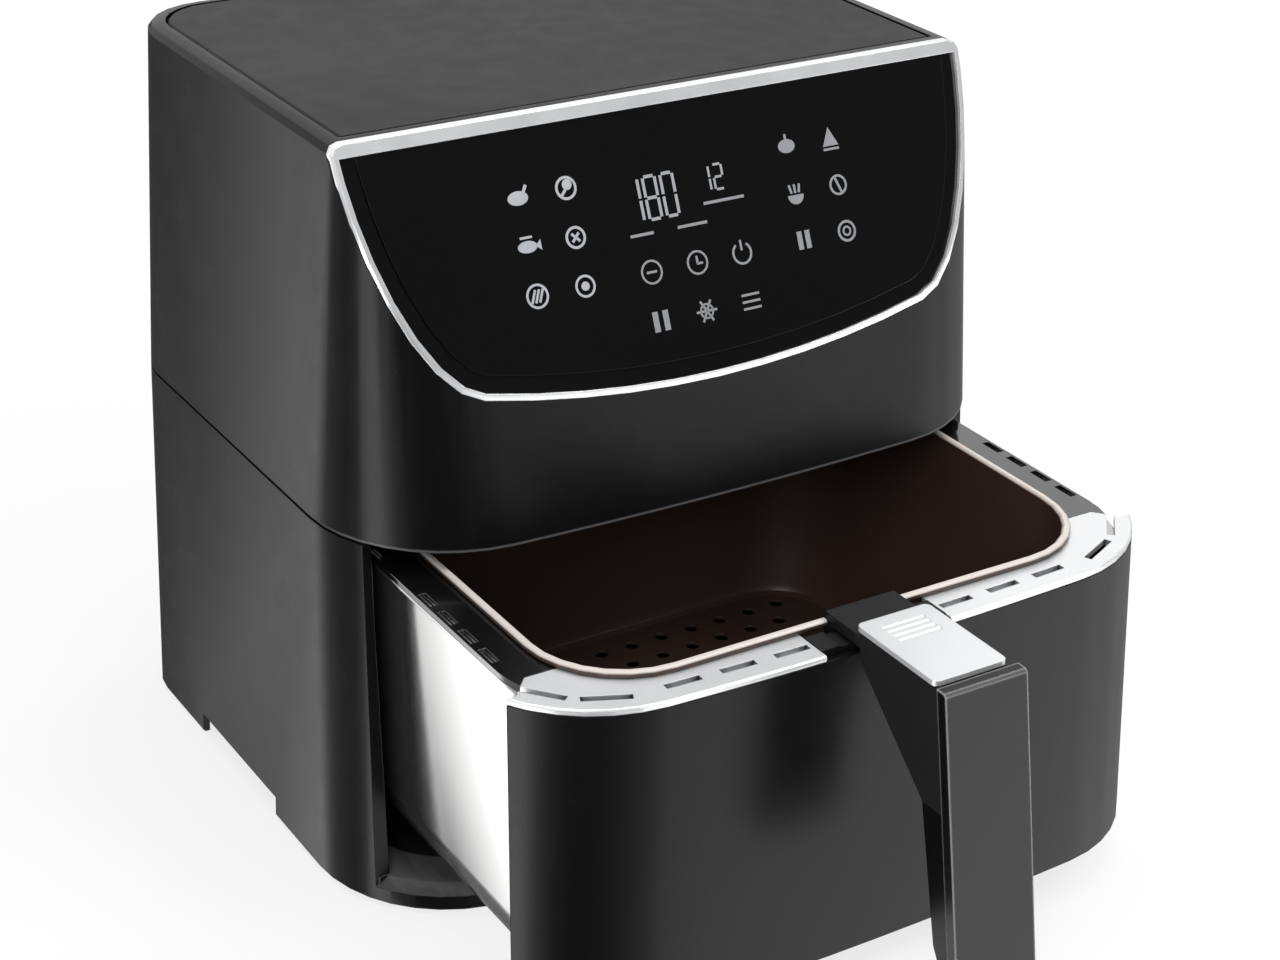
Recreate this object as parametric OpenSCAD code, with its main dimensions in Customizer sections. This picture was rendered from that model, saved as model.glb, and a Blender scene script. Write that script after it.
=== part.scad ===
// Drawer air fryer, millimetres. X to the right, the front faces -Y, Z up.
// The origin is on the floor under the middle of the housing. The drawer is modelled partly open.

/* [Housing] */
// Width of the housing at the floor
body_w = 300; // [290:1:320]
// Depth of the housing at the floor, without the handle
body_d = 248; // [242:1:270]
// Height of the housing
body_h = 298; // [290:1:320]
// Height of the seam between the lower and the upper shell
seam_h = 153; // [151:0.5:160]
// Height of the gap between the feet and the shells' lower edge
ground_gap = 1.5; // [1:0.1:2.5]
// How far each side leans in from the floor to the seam
side_lean_low = 5; // [3:0.5:6]
// How far each side leans in from the seam to the top
side_lean_top = 8.5; // [5:0.5:12]
// How far the front leans back from the floor to the seam
front_lean_low = 7; // [5:0.5:9]
// How far the front leans back from the seam to the top
front_lean_top = 22; // [15:0.5:28]
// Radius of the front corners below the seam
corner_r = 58; // [52:1:62]
// Radius of the front corners at the top
corner_r_top = 30; // [26:1:40]
// Radius of the rear corners
rear_r = 32; // [26:1:40]
// How far the middle of the front stands out from its sides
front_bow = 6; // [4:0.5:8]
// Thickness of the moulded walls
wall = 3; // [2.4:0.1:3.6]
// Width of the dark line at the seam
seam_gap = 1.2; // [0.6:0.1:2]
// Height of the cut-outs under the sides and back
skirt_cut_h = 10.5; // [8:0.5:12]

/* [Top cover] */
// Distance from the housing's edge to the cover
cover_margin = 7; // [6:0.5:12]
// Width of the groove round the cover
cover_groove = 1; // [0.6:0.1:1.6]
// Thickness of the cover
cover_t = 3; // [2:0.2:5]
// Width of the bevel along the top edge
top_bevel = 4.5; // [3:0.5:6]

/* [Control panel] */
// Height that the slanted panel face takes up below the top
panel_h = 98.5; // [85:0.5:105]
// Angle of the panel face from upright
panel_tilt = 24; // [20:0.5:27]
// Depth of the glass and its trim
panel_depth = 3.2; // [2.6:0.2:4]
// Width of the bright strip along the top edge
strip_w = 5; // [3:0.5:8]
// Width of the bright rim at the sides and below
trim_w = 2; // [1.2:0.1:3]
// Width of the glossy bezel at the sides and below
bezel_w = 6.5; // [4:0.5:9]
// Width of the touch board
board_w = 172; // [150:2:180]
// Height of the touch board along the slope
board_l = 74; // [66:1:80]
// Width of the display
display_w = 62; // [50:1:70]
// Height of the display along the slope
display_l = 28; // [22:1:32]

/* [Drawer] */
// How far the drawer stands out as modelled
drawer_out = 105; // [60:1:115]
// Depth of the drawer's rim below the seam
rim_drop = 10; // [9:0.5:14]
// Gap between the ledge and the drawer front's lower edge
ledge_gap = 4.5; // [3:0.5:7]
// Distance that the drawer front wraps round the corners at its bottom, from the front at the floor
wrap_d = 29; // [26:1:34]
// Distance that the ends of the drawer front lean back up to the rim
wrap_lean = 8; // [4:0.5:9]
// Gap between the drawer and the shells
drawer_gap = 1.2; // [0.8:0.1:1.8]
// Thickness of the drawer front
front_t = 3; // [2.4:0.1:3.4]
// Room between the housing's side and the metal pan
pan_room = 22; // [21:0.5:26]
// How much smaller the pan's upright corners are than the housing's
pan_corner_in = 24; // [18:1:28]
// Height of the pan's floor above the surface it stands on
pan_z = 24; // [22:0.5:28]
// Thickness of the pan's sheet
pan_t = 1; // [0.8:0.1:1.6]
// Width that the pan's rim stands out at the sides
pan_flange = 3; // [2:0.5:3.5]
// Thickness of the pan's rim
rim_t = 2.4; // [2:0.2:3.5]
// Length of the slots in the rim
slot_l = 18; // [12:1:22]
// Width of the slots in the rim
slot_w = 3; // [2:0.2:4]

/* [Basket] */
// Room between the pan's side and the basket
basket_room = 14; // [12:0.5:18]
// Room between the pan's front or back and the basket
basket_end_room = 8.5; // [8.5:0.5:14]
// Radius of the basket's upright corners
basket_r = 36; // [30:1:42]
// Height of the basket's floor above the pan's
basket_rise = 12; // [9:0.5:20]
// Thickness of the basket's sheet
basket_t = 1.2; // [1:0.1:1.6]
// Width that the rolled rim stands out
basket_lip = 2.2; // [1.8:0.2:3.2]
// Distance between the holes in the floor
hole_pitch = 15; // [14:1:20]
// Diameter of the holes in the floor
hole_d = 6; // [4:0.5:7]

/* [Handle] */
// Width of the grip
grip_w = 34; // [30:1:40]
// Length of the grip
grip_l = 114; // [100:1:120]
// Lean of the grip, outwards to its lower end
grip_lean = 10; // [6:0.5:14]
// Thickness of the grip from front to back
grip_t = 19; // [17:0.5:22]
// Distance from the drawer front to the grip's front at the top
grip_reach = 53; // [50:1:60]
// Height of the handle's arm above the drawer's rim
handle_rise = 7; // [6.5:0.5:7.5]
// Thickness of the plate on the grip's front
face_t = 5; // [4:0.5:7]
// Travel of the sliding guard
guard_travel = 14; // [10:1:16]
// Travel of the release button
button_travel = 3; // [2:0.5:4]

/* [Fan and heater] */
// Radius of the hot air fan
fan_r = 62; // [54:1:68]
// Number of blades on the hot air fan
fan_blades = 12; // [8:1:16]
// Radius of the cooling fan
cool_r = 44; // [36:1:48]
// Radius of the motor shaft
shaft_r = 3; // [2.5:0.5:4]
// Outer radius of the heater spiral, at the middle of its tube
coil_r = 76; // [66:1:80]
// Number of turns of the heater spiral
coil_turns = 3; // [2:1:4]
// Diameter of the heater's tube
coil_d = 6.4; // [5:0.2:7]
// Inner radius of the hood round the hot air fan
hood_r = 88; // [84:1:92]
// Height of the hood
hood_h = 46; // [44:1:50]

/* [Hidden] */

$fn = 48;
// Room between pieces that move past each other
clear = 0.3;
// Radial room of a running fit
run_fit = 0.05;
// Long enough to cut through the whole housing
far = 700;
// A cut reaches this far past the face it leaves
past = 1;
// Steps of the curved outlines
bow_steps = 10;
corner_steps = 9;
rear_steps = 6;

front_0 = -body_d / 2;
back_y = body_d / 2;
upper_h = body_h - seam_h;
panel_z = body_h - panel_h;
rim_h = seam_h - rim_drop;
pan_w = body_w - 2 * pan_room;
pan_r = corner_r - pan_corner_in;
basket_w = pan_w - 2 * basket_room;
function mix(a, b, t) = a + (b - a) * t;
function above(z) = max(0, z - seam_h) / upper_h;
function below(z) = min(z, seam_h) / seam_h;
function half_w(z) = body_w / 2 - side_lean_low * below(z) - side_lean_top * above(z);
function front_y(z) = front_0 + front_lean_low * below(z) + front_lean_top * above(z);
function corner_at(z) = mix(corner_r, corner_r_top, above(z));

function arc(c, r, a0, a1, n) = [for (i = [0:n]) let (a = a0 + (a1 - a0) * i / n) c + r * [cos(a), sin(a)]];

// Rounded outline with a bowed front: half width, front and back, radii of the front and rear corners, bow
function bowed(hw, yf, yb, rf, rr, bow) =
    let (
        r = (hw * hw + bow * bow) / (2 * bow),
        cx = hw - rf,
        cy = yf + r - sqrt((r - rf) * (r - rf) - cx * cx),
        a = atan2(cy - yf - r, cx)
    )
    concat(
        arc([0, yf + r], r, -180 - a, a, bow_steps),
        [for (p = arc([cx, cy], rf, a, 0, corner_steps)) if (p.x > cx + rf * cos(a) + 0.01) p],
        arc([hw - rr, yb - rr], rr, 0, 90, rear_steps),
        arc([rr - hw, yb - rr], rr, 90, 180, rear_steps),
        [for (p = arc([-cx, cy], rf, 180, 180 - a, corner_steps)) if (p.x < -cx - rf * cos(a) - 0.01) p]
    );

function body_ring(z, inset = 0) = [
    for (p = bowed(half_w(z) - inset, front_y(z) + inset, back_y - inset,
        corner_at(z) - inset, rear_r - inset, front_bow)) [p.x, p.y, z]
];

// Rectangle with round corners: half width, front and back, radius
function rounded(hw, yf, yb, r, n = 7) = concat(
    arc([r - hw, yf + r], r, 180, 270, n), arc([hw - r, yf + r], r, 270, 360, n),
    arc([hw - r, yb - r], r, 0, 90, n), arc([r - hw, yb - r], r, 90, 180, n));

function lifted(points, z) = [for (p = points) [p.x, p.y, z]];

// Skin over a stack of rings. A closed skin joins the last ring to the first instead of capping both.
module loft(rings, closed = false) {
    n = len(rings[0]);
    m = len(rings);
    sides = [
        for (k = [0:m - (closed ? 1 : 2)], i = [0:n - 1])
            let (j = (i + 1) % n, up = (k + 1) % m * n, lo = k * n)
            each [[lo + i, up + i, up + j], [lo + i, up + j, lo + j]]
    ];
    caps = closed ? [] : [[for (i = [0:n - 1]) i], [for (i = [n - 1:-1:0]) (m - 1) * n + i]];
    polyhedron([for (r = rings) each r], concat(caps, sides), convexity = 8);
}

module box(low, high) translate(low) cube(high - low);
module mirrored() { children(); mirror([1, 0, 0]) children(); }
module rod(r, h) cylinder(r = r, h = h);
// Puts children on the slanted panel face: x across, y up the slope, z out of the face
module on_panel() translate([0, front_y(panel_z), panel_z]) rotate([90 - panel_tilt, 0, 0]) children();
module behind_panel(offset) on_panel() box([-far, -far, -far], [far, far, offset]);
function panel_y(z, offset = 0) = front_y(panel_z) + (z - panel_z) * tan(panel_tilt) - offset / cos(panel_tilt);
panel_l = (body_h - panel_z) / cos(panel_tilt);
strip_y = panel_l - strip_w;
// Where the lines of the tapered body cross the panel face, as points on that face
panel_points = let (low = body_ring(seam_h), high = body_ring(body_h), n = len(low))
    [for (j = [0:n - 1]) let (
            i = (j + n - corner_steps - rear_steps) % n, a = low[i], b = high[i],
            da = panel_y(a.z) - a.y, db = panel_y(b.z) - b.y)
        if (da < 0 && db > 0) let (p = mix(a, b, da / (da - db))) [p.x, (p.z - panel_z) / cos(panel_tilt)]];
// Moves children with the drawer
module drawn() translate([0, -drawer_out, 0]) children();

// ---- Upper housing ----
cover_front_y = panel_y(body_h) + cover_margin;
trim_lap = 0.5;
trim_rise = 0.4;
glass_sink = 0.5;
bezel_sink = 1.3;
board_lap = 6;
board_y = 15;
board_t = 1.6;
display_y = board_y + board_l - board_lap - 3 - display_l;
duct_w = 100;
duct_z = seam_h + 8;
duct_h = 34;
intake_n = 9;
intake_pitch = 9;
intake_h = 34;
intake_z = body_h - 33 - intake_h;

module upper_body(inset = 0) loft([
    body_ring(seam_h, inset),
    body_ring(body_h - 0.7 * top_bevel, inset),
    body_ring(body_h - 0.2 * top_bevel, inset + 0.35 * top_bevel),
    body_ring(body_h, inset + top_bevel)
]);

// Block on the panel face between two heights, its outline spread by a margin and cut off at a height up the slope
module panel_block(low, high, margin, top = far) on_panel() translate([0, 0, low]) linear_extrude(high - low)
    intersection() {
        offset(delta = margin) polygon(concat(panel_points,
            [[panel_points[len(panel_points) - 1].x, far], [panel_points[0].x, far]]));
        translate([-far, -far]) square([2 * far, far + top]);
    }

module upper_shell() color("#26282b") difference() {
    intersection() {
        upper_body();
        behind_panel(0);
    }
    panel_block(-panel_depth, past, trim_lap);
    intersection() {
        loft([body_ring(seam_h - past, wall), body_ring(body_h - cover_t - wall, wall)]);
        behind_panel(-panel_depth - wall);
    }
    // seat of the top cover
    intersection() {
        loft([body_ring(body_h - cover_t, cover_margin), body_ring(body_h + past, cover_margin)]);
        box([-far, cover_front_y, 0], [far, far, far]);
    }
    // window between the glass and the touch board
    on_panel() box([board_lap - board_w / 2, board_y + board_lap, -panel_depth - wall - past],
        [board_w / 2 - board_lap, board_y + board_l - board_lap, -panel_depth + past]);
    // air outlet
    box([-duct_w / 2, back_y - wall - past, duct_z], [duct_w / 2, back_y + past, duct_z + duct_h]);
    // air intake slots
    for (side = [-1, 1], i = [0:intake_n - 1])
        translate([side * (16 + i * intake_pitch), back_y, intake_z])
            box([-1.8, -wall - past, 0], [1.8, past, intake_h]);
}

module top_cover() color("#3a3c3f") intersection() {
    m = cover_margin + cover_groove;
    loft([body_ring(body_h - cover_t, m), body_ring(body_h - 0.8, m), body_ring(body_h, m + 0.8)]);
    box([-far, cover_front_y + cover_groove, 0], [far, far, far]);
}

module panel_trim() color("#d8dade") intersection() {
    upper_body();
    difference() {
        panel_block(-panel_depth, trim_rise, trim_lap);
        panel_block(-panel_depth - past, trim_rise + past, -trim_w, strip_y);
    }
}

module panel_bezel() color("#0b0c0e") difference() {
    panel_block(-panel_depth, -bezel_sink, -trim_w, strip_y);
    panel_block(-panel_depth - past, past, -trim_w - bezel_w, panel_l);
}

module control_panel() color("#101114")
    panel_block(-panel_depth, -glass_sink, -trim_w - bezel_w, strip_y);

module touch_board() color("#1f5a3a") on_panel() {
    back = -panel_depth - wall - board_t;
    box([-board_w / 2, board_y, back], [board_w / 2, board_y + board_l, back + board_t]);
    // driver chips and the plug for the ribbon
    for (x = [-56, -36, 40]) box([x, board_y + 30, back - 2.2], [x + 12, board_y + 42, back]);
    box([54, board_y + 8, back - 6], [72, board_y + 16, back]);
}

module display_module() color("#e8e6da") on_panel()
    box([-display_w / 2, display_y, -panel_depth - wall], [display_w / 2, display_y + display_l, -panel_depth]);

module exhaust_grille() color("#1c1d20") {
    frame = 4;
    slats = 5;
    pitch = (duct_h - 2 * frame) / slats;
    difference() {
        box([-duct_w / 2, back_y - wall, duct_z], [duct_w / 2, back_y, duct_z + duct_h]);
        box([frame - duct_w / 2, back_y - wall - past, duct_z + frame],
            [duct_w / 2 - frame, back_y + past, duct_z + duct_h - frame]);
    }
    intersection() {
        box([-duct_w / 2 + 1, back_y - wall, duct_z + 1], [duct_w / 2 - 1, back_y, duct_z + duct_h - 1]);
        for (i = [0:slats - 1]) translate([0, back_y - wall / 2, duct_z + frame + (i + 0.5) * pitch])
            rotate([40, 0, 0]) cube([duct_w - 2, 6, 1.2], center = true);
    }
}

hood_top = seam_h + hood_h;
sheet = 0.8;

module exhaust_duct() color("#9a9da0") difference() {
    box([-duct_w / 2 - sheet, 0, duct_z - sheet], [duct_w / 2 + sheet, back_y - wall, duct_z + duct_h + sheet]);
    box([-duct_w / 2, -past, duct_z], [duct_w / 2, back_y, duct_z + duct_h]);
    rod(hood_r + sheet, body_h);
}

// ---- Lower housing ----
tray_z = 9;
tray_top = tray_z + wall;
ledge_h = tray_top;
ledge_w = 20;
ledge_y = front_0 + 62;
shelf_w = 6;
drawer_bottom = ledge_h + ledge_gap;
split_low = front_0 + wrap_d;
split_top = split_low + wrap_lean;
pan_front = front_0 + 17;
pan_back = back_y - 20;
bay_hw = pan_w / 2 + pan_flange + 3.5;
bay_back = pan_back + pan_flange + 4;
// The liner starts where the shell's front corner leaves room for it
liner_in = bay_hw + sheet - half_w(seam_h) + corner_r;
liner_front = front_y(seam_h) + corner_r - sqrt(pow(corner_r - wall, 2) - liner_in * liner_in) + 4;
// Everything in front of the plane in which the drawer front parts from the housing, moved back by a gap
module before_split(gap = 0) translate([0, split_low + gap, drawer_bottom])
    rotate([-atan(wrap_lean / (rim_h - drawer_bottom)), 0, 0]) box([-far, -far, -far], [far, 0, far]);
rear_foot_y = back_y - 72;
front_foot_y = front_0 + 102;
gland_x = body_w / 2 - 66;
gland_z = 36;

module lower_shell() color("#26282b") {
    difference() {
        union() {
            difference() {
                loft([body_ring(ground_gap, 1), body_ring(ground_gap + 1, 0), body_ring(seam_h - seam_gap, 0)]);
                loft([body_ring(-past, wall), body_ring(seam_h + past, wall)]);
            }
            // inner lip that locates the upper shell
            difference() {
                loft([body_ring(tray_top, seam_gap), body_ring(seam_h, seam_gap)]);
                loft([body_ring(0, wall), body_ring(seam_h + past, wall)]);
            }
            // returns at the edges of the front opening
            difference() {
                intersection() {
                    loft([body_ring(ledge_h - 3, 1), body_ring(seam_h - seam_gap, 1)]);
                    before_split(drawer_gap + wall);
                }
                box([-bay_hw, -far, 0], [bay_hw, far, far]);
            }
        }
        // front opening
        intersection() {
            before_split(drawer_gap);
            box([-far, -far, ledge_h - 4], [far, far, far]);
        }
        // raised edges between the feet
        box([-far, front_foot_y, -past], [far, rear_foot_y, skirt_cut_h]);
        box([-body_w / 2 + 60, 0, -past], [body_w / 2 - 60, far, skirt_cut_h]);
        // hole of the cord inlet
        translate([gland_x, back_y + past, gland_z]) rotate([90, 0, 0]) rod(7, wall + 2 * past);
    }
    // front ledge under the drawer
    difference() {
        union() {
            intersection() {
                loft([body_ring(ground_gap + 1, 0), body_ring(ledge_h - 4, 0), body_ring(ledge_h, 4)]);
                box([-far, -far, 0], [far, split_low + drawer_gap, far]);
            }
            intersection() {
                loft([body_ring(ground_gap + 1, 1), body_ring(ledge_h, 1)]);
                box([-far, split_low + drawer_gap - 1, 0], [far, ledge_y, far]);
            }
        }
        loft([body_ring(-past, ledge_w), body_ring(ledge_h + past, ledge_w)]);
    }
    // shelf that the base tray is screwed to
    difference() {
        loft([body_ring(tray_top, wall - 0.5), body_ring(tray_top + wall, wall - 0.5)]);
        loft([body_ring(tray_top - past, wall + shelf_w), body_ring(tray_top + wall + past, wall + shelf_w)]);
        box([-far, -far, 0], [far, ledge_y - 1, far]);
        for (p = screw_spots) translate([p.x, p.y, 0]) rod(1.6, far);
    }
}

module base_tray() color("#1d1e20") {
    rail_w = 9;
    difference() {
        union() {
            translate([0, 0, tray_z]) linear_extrude(tray_top - tray_z) intersection() {
                polygon([for (p = body_ring(tray_z, wall + clear)) [p.x, p.y]]);
                union() {
                    translate([-far, ledge_y + clear]) square(2 * far);
                    polygon([for (p = body_ring(ledge_h, ledge_w + clear)) [p.x, p.y]]);
                }
            }
            // rails with round ends that the pan slides on
            mirrored() translate([pan_w / 2 - 19, 0, tray_z]) {
                box([-rail_w / 2, pan_front + 22, 0], [rail_w / 2, pan_back, pan_z - clear - tray_z]);
                translate([0, pan_front + 22, 0]) rod(rail_w / 2, pan_z - clear - tray_z);
            }
            // low ribs across the middle
            for (x = [-60, -20, 20, 60]) box([x - 1.5, pan_front + 37, tray_z], [x + 1.5, pan_back - 4, tray_top + 4]);
        }
        for (p = screw_spots) translate([p.x, p.y, 0]) rod(1.9, tray_top + past);
    }
}

foot_r = 10;
foot_x = body_w / 2 - 42;
foot_y = [front_0 + 58, back_y - 32];
screw_in = wall + 3.8;
screw_x = body_w / 2 - screw_in;
screw_spots = [for (s = [-1, 1], p = [[screw_x, front_0 + 80], [screw_x, back_y - 58], [60, back_y - screw_in + 0.6]])
    [s * p.x, p.y]];

module rubber_feet() color("#101010") for (x = [-foot_x, foot_x], y = foot_y) translate([x, y, 0]) {
    difference() {
        rod(foot_r, tray_z);
        translate([0, 0, -past]) rod(3, past + 2);
    }
}

module case_screws() color("#8b8d90") for (p = screw_spots) translate([p.x, p.y, 0]) difference() {
    union() {
        translate([0, 0, tray_z - 2]) rod(2.8, 2);
        translate([0, 0, tray_z - 2]) rod(1.6, tray_top + wall - tray_z + 2);
    }
    translate([0, 0, tray_z - 2]) box([-1.8, -0.5, -past], [1.8, 0.5, 1]);
    translate([0, 0, tray_z - 2]) box([-0.5, -1.8, -past], [0.5, 1.8, 1]);
}

module cord_gland() color("#141414") translate([gland_x, 0, gland_z]) rotate([-90, 0, 0]) difference() {
    union() {
        translate([0, 0, back_y - wall - 3]) rod(8.5, 3);
        translate([0, 0, back_y - wall]) rod(6.9, wall);
        translate([0, 0, back_y]) rod(9, 2);
    }
    rod(3.6, far);
}

module terminal_block() color("#e4e0d0") {
    deep = 6;
    translate([gland_x - 52, back_y - wall - deep, gland_z - 7]) difference() {
        cube([32, deep, 14]);
        for (i = [0:2]) translate([6 + i * 10, -past, 7]) rotate([-90, 0, 0]) rod(2.4, 3 + past);
    }
}

module bay_liner() color("#3c3e41") {
    r = 24;
    translate([0, 0, tray_top]) linear_extrude(seam_h - sheet - tray_top) difference() {
        polygon(rounded(bay_hw + sheet, -far, bay_back + sheet, r + sheet, 10));
        polygon(rounded(bay_hw, -far - 1, bay_back, r, 10));
        translate([-far, liner_front - 3 * far]) square([2 * far, 3 * far]);
    }
}

module bay_ceiling() color("#4a4c50") translate([0, 0, seam_h - sheet]) linear_extrude(sheet) difference() {
    polygon([for (p = body_ring(seam_h, wall + clear)) [p.x, p.y]]);
    circle(hood_r);
    // room for the handle's cover plate
    translate([-guard_hw - 4.5, -far]) square([2 * guard_hw + 9, far + guard_back + guard_travel + 5]);
}

module door_switch() color("#202124") {
    deep = 7;
    translate([-10, bay_back + sheet, 64]) cube([20, deep, 12]);
    for (x = [-14, 10]) translate([x, bay_back + sheet, 69]) cube([4, 1.2, 2]);
}

// ---- Fan, heater and motor ----
coil_z = seam_h + 10;
fan_z = seam_h + 24;
fan_h = 14;
cool_z = hood_top + 7;
cool_h = 12;
bracket_z = cool_z + cool_h + 5;
motor_z = bracket_z + 1.5;
stack_h = 20;
rotor_r = 16;
bridge_h = 7;
shaft_top = motor_z + stack_h + 2 * bridge_h + 2;
shaft_low = fan_z - 9;
riser_a = [14, 30];

module fan_hood() color("#b4b6b8") difference() {
    rotate_extrude() polygon([
        [hood_r, seam_h], [hood_r + 9, seam_h], [hood_r + 9, seam_h + sheet], [hood_r + sheet, seam_h + sheet],
        [hood_r + sheet, hood_top - 6], [hood_r - 5, hood_top], [9, hood_top], [9, hood_top - sheet],
        [hood_r - 5.5, hood_top - sheet], [hood_r, hood_top - 6.5]
    ]);
    box([-duct_w / 2, 0, duct_z], [duct_w / 2, far, duct_z + duct_h - 4]);
    for (a = riser_a) rotate(a) translate([coil_r, 0, hood_top - 5]) rod(6, 10);
    rotate(200) translate([0, 0, coil_z + 8]) rotate([0, 90, 0]) rod(2.6, far);
}

// Turns of the coil: angle at a place along it, and its centre line there
coil_sweep = 360 * coil_turns + riser_a[0] - riser_a[1];
coil_step = 14;
coil_in = 16;
function out_dir(a) = [cos(a), sin(a), 0];
function round_dir(a) = [-sin(a), cos(a), 0];
function coil_at(t) = let (a = riser_a[0] - t) (coil_r - coil_in * t / 360) * out_dir(a) + [0, 0, coil_z];

// Ring of a round tube about a centre, spanned by two directions
function tube_ring(c, u, v, d, sides = 8) = [for (k = [0:sides - 1]) c + d / 2 * (cos(360 * k / sides) * u + sin(360 * k / sides) * v)];

module heater_coil() color("#55504c") {
    a0 = riser_a[0];
    a1 = riser_a[1];
    up = [0, 0, 1];
    start = coil_at(0);
    end = coil_at(coil_sweep);
    over = coil_z + coil_d + 0.6;
    riser = hood_top + 16;
    n = ceil(coil_sweep / coil_step);
    // down the first riser, round the turns, over them and up the second riser
    loft(concat(
        [tube_ring([start.x, start.y, riser], out_dir(a0), -round_dir(a0), coil_d)],
        [tube_ring(start, out_dir(a0), up - round_dir(a0), coil_d)],
        [for (i = [1:n - 1]) let (t = coil_sweep * i / n) tube_ring(coil_at(t), out_dir(a0 - t), up, coil_d)],
        [tube_ring(end, out_dir(a1), up + round_dir(a1), coil_d)],
        [tube_ring([end.x, end.y, over], out_dir(a1) - up, round_dir(a1), coil_d)],
        [tube_ring(coil_r * out_dir(a1) + over * up, out_dir(a1) - up, round_dir(a1), coil_d)],
        [tube_ring(coil_r * out_dir(a1) + riser * up, out_dir(a1), round_dir(a1), coil_d)]
    ));
}

module heater_bushes() color("#efe9dc") for (a = riser_a) rotate(a) translate([coil_r, 0, hood_top - 6])
    difference() {
        union() {
            rod(5.8, 12);
            translate([0, 0, 6]) rod(8, 3);
        }
        translate([0, 0, -past]) rod(coil_d / 2 + run_fit, 12 + 2 * past);
    }

module heater_guard() color("#c6c8ca") {
    wire = 1.2;
    z = seam_h + wire;
    for (r = [22, 44, 64, 82]) translate([0, 0, z]) rotate_extrude($fn = 64) translate([r, 0]) circle(wire, $fn = 13);
    for (a = [45:90:315]) rotate(a) translate([18, 0, z + wire]) rotate([0, 90, 0]) rod(wire, hood_r - 18.2);
}

module motor_bracket() color("#a8aaad") {
    hx = 54;
    hy = 27;
    difference() {
        translate([0, 0, bracket_z]) linear_extrude(1.5) difference() {
            polygon(rounded(hx + 7, -hy - 7, hy + 7, 8));
            circle(10);
        }
        for (x = [-24, 24]) translate([x, 0, 0]) rod(1.8, far);
    }
    for (x = [-hx, hx], y = [-hy, hy]) translate([x, y, hood_top]) rod(4, bracket_z - hood_top);
}

module fan_motor() color("#7a6a58") {
    stack_z = motor_z + bridge_h;
    // lamination stack with the winding on one side
    translate([0, 0, stack_z]) linear_extrude(stack_h) difference() {
        translate([-30, -26]) square([60, 66]);
        circle(rotor_r + 0.4);
        translate([-14, 22]) square([28, 8]);
        for (x = [-24, 24], y = [-20, 34]) translate([x, y]) circle(2.2);
    }
    translate([-20, 28.5, stack_z - 6]) difference() {
        cube([40, 15, stack_h + 12]);
        translate([6, -past, 6]) cube([28, 20, stack_h]);
    }
    // bearing bridges below and above
    for (z = [motor_z, stack_z + stack_h]) translate([0, 0, z]) difference() {
        union() {
            for (x = [-29, 21]) box([x, -7, 0], [x + 8, 7, bridge_h]);
            box([-29, -7, bridge_h / 2 - 1.5], [29, 7, bridge_h / 2 + 1.5]);
            rod(8, bridge_h);
        }
        translate([0, 0, -past]) rod(shaft_r + run_fit, bridge_h + 2 * past);
        for (x = [-24, 24]) translate([x, 0, -past]) rod(1.5, 5);
    }
}

module motor_screws() color("#8b8d90") for (x = [-24, 24]) translate([x, 0, bracket_z - 2]) {
    rod(3.2, 2);
    rod(1.4, 6);
}

module temperature_probe() color("#b0b2b4") rotate(200) translate([0, 0, coil_z + 8]) rotate([0, 90, 0]) {
    translate([0, 0, fan_r + 8]) rod(2.4, hood_r + 8 - fan_r);
    translate([0, 0, hood_r + sheet]) rod(5, 3);
}

module thermal_cutout() color("#303236") translate([0, -66, hood_top]) {
    rod(9, 5);
    translate([-12, -4, 0]) cube([24, 8, 1]);
    for (x = [-5, 3]) translate([x, -0.5, 5]) cube([2.5, 1, 6]);
}

board_x = -body_w / 2 + 28;
module control_board() color("#2c6b45") {
    low = hood_top + 6;
    high = body_h - cover_t - wall - 12;
    box([board_x, -40, low], [board_x + board_t, 62, high]);
    // pillars to the shell's side
    for (y = [-34, 56], z = [low + 6, high - 6])
        translate([board_x, y, z]) rotate([0, -90, 0]) rod(3, half_w(z + 3) - wall + board_x - 0.1);
    // transformer, relay, capacitor and heat sink
    translate([board_x + board_t, -34, low + 6]) cube([20, 30, 26]);
    translate([board_x + board_t, 6, low + 8]) cube([15, 19, 15]);
    translate([board_x + board_t, 42, low + 20]) rotate([0, 90, 0]) rod(8, 18);
    for (i = [0:4]) translate([board_x + board_t, 4 + i * 5, high - 34]) cube([14, 1.5, 26]);
}

module motor_shaft() color("#c9ccd0") {
    translate([0, 0, shaft_low]) rod(shaft_r, shaft_top - shaft_low);
    translate([0, 0, motor_z + bridge_h]) rod(rotor_r, stack_h);
}

// A curved upright blade from radius r0 to r1
module blade(r0, r1, h, t, bend) {
    mid = (r0 + r1) / 2;
    r = (r1 - r0) / 2 / sin(bend);
    linear_extrude(h) translate([mid, -r * cos(bend)]) difference() {
        intersection() {
            circle(r + t / 2, $fn = 96);
            polygon([[0, 0], 3 * r * [-sin(bend), cos(bend)], 3 * r * [sin(bend), cos(bend)]]);
        }
        circle(r - t / 2, $fn = 96);
    }
}

module hot_air_fan() color("#bfc2c5") translate([0, 0, fan_z]) difference() {
    union() {
        translate([0, 0, fan_h - 1]) difference() {
            rod(fan_r - 6, 1);
            for (i = [0:3]) rotate(45 + i * 90) translate([26, 0, -past]) rod(5, 1 + 2 * past);
        }
        translate([0, 0, -3]) rod(7, fan_h + 3);
        for (i = [0:fan_blades - 1]) rotate(i * 360 / fan_blades) blade(18, fan_r, fan_h, 1, 16);
    }
    translate([0, 0, -4]) rod(shaft_r + run_fit, fan_h + 6);
}

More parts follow.
